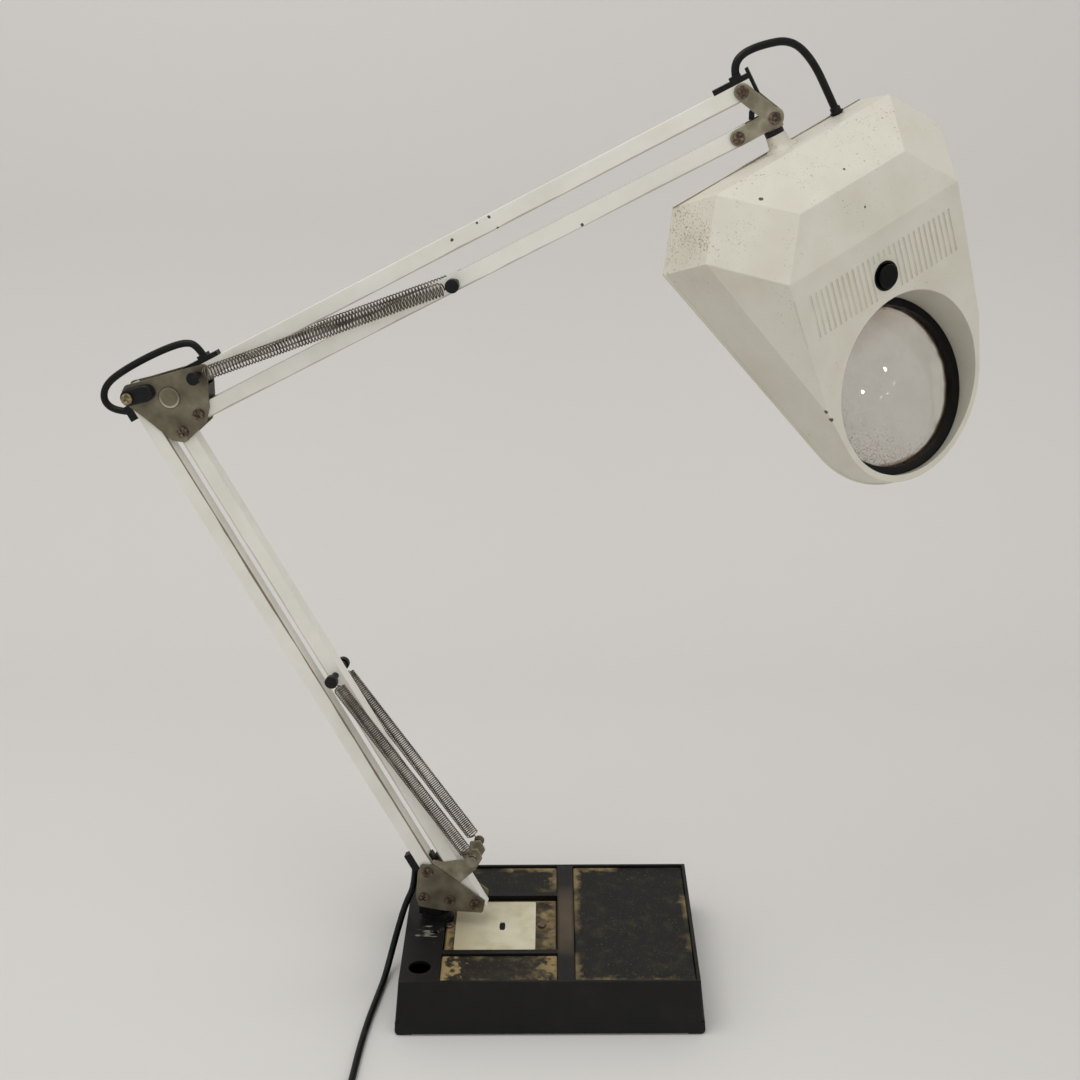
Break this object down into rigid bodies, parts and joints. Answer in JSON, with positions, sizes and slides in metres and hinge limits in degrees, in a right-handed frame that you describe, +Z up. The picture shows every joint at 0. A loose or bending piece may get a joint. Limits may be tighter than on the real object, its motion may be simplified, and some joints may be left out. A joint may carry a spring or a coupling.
{
  "type": "magnifying desk lamp",
  "caption": "Sprung parallel-arm desk lamp with a weighted base, a tilting hood with tubes and switch, and a round magnifying lens.",
  "frame": {"origin": "on the table under the middle of the base", "axes": "+X to the right along the base's long side, -Y towards the front, +Z up"},
  "size_m": [0.7057, 0.491, 0.8042],
  "materials": {
    "cream_plastic": "aged cream moulded plastic, satin",
    "cream_paint": "cream enamel on steel tube",
    "black_plastic": "black moulded plastic",
    "black_button": "polished black plastic",
    "plated_plate": "dull grey-brown plated steel sheet",
    "rusty_screw": "plated steel with light rust",
    "spring_steel": "drawn spring wire, dull",
    "brass": "worn brass plating",
    "weight_iron": "dark painted iron with worn brown edges",
    "ballast_paint": "tan painted sheet steel",
    "white_plate": "bare off-white plate",
    "white_enamel": "white stove enamel",
    "white_plastic": "white moulded plastic",
    "lens_glass": "polished clear glass",
    "tube_glass": "white phosphor-coated glass",
    "aluminium": "spun aluminium",
    "rubber": "black rubber",
    "cable_sheath": "black flexible sheath",
    "nylon": "natural nylon"
  },
  "bodies": {
    "base": {"base_tray": "black_plastic", "base_feet": "rubber", "base_cover": "black_plastic", "base_screws": "rusty_screw", "weight_right": "weight_iron", "weight_rear": "weight_iron", "weight_front": "weight_iron", "ballast": "ballast_paint", "ballast_label": "white_plate", "swivel_bush": "nylon", "mains_cord": "cable_sheath", "cord_coil": "cable_sheath", "cord_tie": "black_plastic", "mains_plug": "white_plastic"},
    "swivel": {"swivel_block": "black_plastic", "swivel_clip": "spring_steel", "bracket_plate_near": "plated_plate", "bracket_plate_far": "plated_plate", "anchor_plates": "plated_plate", "bracket_screws": "rusty_screw", "bracket_washers": "nylon", "anchor_pegs": "plated_plate", "lower_spring_near": "spring_steel", "lower_spring_far": "spring_steel"},
    "lower_bar_a": {"bar_a": "cream_paint", "bar_a_clips": "black_plastic", "bar_a_buffer": "black_plastic"},
    "lower_bar_b": {"bar_b": "cream_paint", "bar_b_pin": "black_plastic"},
    "elbow": {"elbow_plate_near": "plated_plate", "elbow_plate_far": "plated_plate", "elbow_screws": "rusty_screw", "elbow_pin": "black_plastic", "elbow_spacer": "black_plastic", "clamp_screw": "brass", "elbow_cable": "cable_sheath", "upper_spring_near": "spring_steel", "upper_spring_far": "spring_steel"},
    "clamp_lever": {"clamp_lever": "black_plastic"},
    "upper_bar_c": {"bar_c": "cream_paint", "bar_c_clips": "black_plastic"},
    "upper_bar_d": {"bar_d": "cream_paint", "bar_d_pin": "black_plastic"},
    "head_bracket": {"head_bracket_near": "plated_plate", "head_bracket_far": "plated_plate", "head_screws": "rusty_screw", "head_spacer": "black_plastic"},
    "head_stem": {"head_stem": "plated_plate", "stem_washer": "black_plastic"},
    "head": {"head_shell": "cream_plastic", "lens": "lens_glass", "lens_ring": "black_plastic", "switch_body": "black_plastic", "gear_tray": "white_enamel", "lamp_tubes": "tube_glass", "lampholders": "white_plastic", "starters": "aluminium", "cable_gland": "black_plastic", "head_cable": "cable_sheath"},
    "switch_button": {"switch_button": "black_button"}
  },
  "joints": [
    {"name": "swivel_turn", "type": "hinge", "parent": "base", "child": "swivel", "pos_m": [-0.1015, 0.011, 0.051], "axis": [0, 0, 1], "range_deg": [-90, 90], "deforming": ["mains_cord"]},
    {"name": "lower_arm", "type": "hinge", "parent": "swivel", "child": "lower_bar_a", "pos_m": [-0.10586, 0.01161, 0.0983], "axis": [-0.1392, -0.9903, 0], "range_deg": [-30, 8], "deforming": ["lower_spring_near", "lower_spring_far"]},
    {"name": "lower_bar_b_pivot", "type": "hinge", "parent": "swivel", "child": "lower_bar_b", "pos_m": [-0.06446, 0.00579, 0.069], "axis": [-0.1392, -0.9903, 0], "range_deg": [-30, 8]},
    {"name": "elbow_level", "type": "hinge", "parent": "lower_bar_a", "child": "elbow", "pos_m": [-0.33771, 0.0442, 0.52419], "axis": [-0.1392, -0.9903, 0], "range_deg": [-8, 30], "deforming": ["elbow_cable"]},
    {"name": "clamp_turn", "type": "hinge", "parent": "elbow", "child": "clamp_lever", "pos_m": [-0.33771, 0.0442, 0.52419], "axis": [-0.1392, -0.9903, 0], "range_deg": [-20, 20]},
    {"name": "upper_arm", "type": "hinge", "parent": "elbow", "child": "upper_bar_c", "pos_m": [-0.27988, 0.03607, 0.54329], "axis": [-0.1392, -0.9903, 0], "range_deg": [-40, 4], "deforming": ["upper_spring_near", "upper_spring_far"]},
    {"name": "upper_bar_d_pivot", "type": "hinge", "parent": "elbow", "child": "upper_bar_d", "pos_m": [-0.28166, 0.03632, 0.51048], "axis": [-0.1392, -0.9903, 0], "range_deg": [-40, 4]},
    {"name": "head_level", "type": "hinge", "parent": "upper_bar_c", "child": "head_bracket", "pos_m": [0.1474, -0.02398, 0.76694], "axis": [-0.1392, -0.9903, 0], "range_deg": [-4, 40], "deforming": ["head_cable"]},
    {"name": "head_tilt", "type": "hinge", "parent": "head_bracket", "child": "head_stem", "pos_m": [0.17136, -0.02735, 0.74854], "axis": [-0.1392, -0.9903, 0], "range_deg": [-2, 60]},
    {"name": "head_roll", "type": "hinge", "parent": "head_stem", "child": "head", "pos_m": [0.16667, -0.02669, 0.74617], "axis": [0.4434, -0.0623, -0.8942], "range_deg": [-75, 75]},
    {"name": "switch_press", "type": "slide", "parent": "head", "child": "switch_button", "axis": [-0.5475, 0.8368, 0.0023], "range_m": [0, 0.0025], "stiffness_N_per_m": 600}
  ],
  "couplings": [
    {"joint": "lower_bar_b_pivot", "follows": "lower_arm", "ratio": 1},
    {"joint": "elbow_level", "follows": "lower_arm", "ratio": -1},
    {"joint": "upper_bar_d_pivot", "follows": "upper_arm", "ratio": 1},
    {"joint": "head_level", "follows": "upper_arm", "ratio": -1}
  ]
}
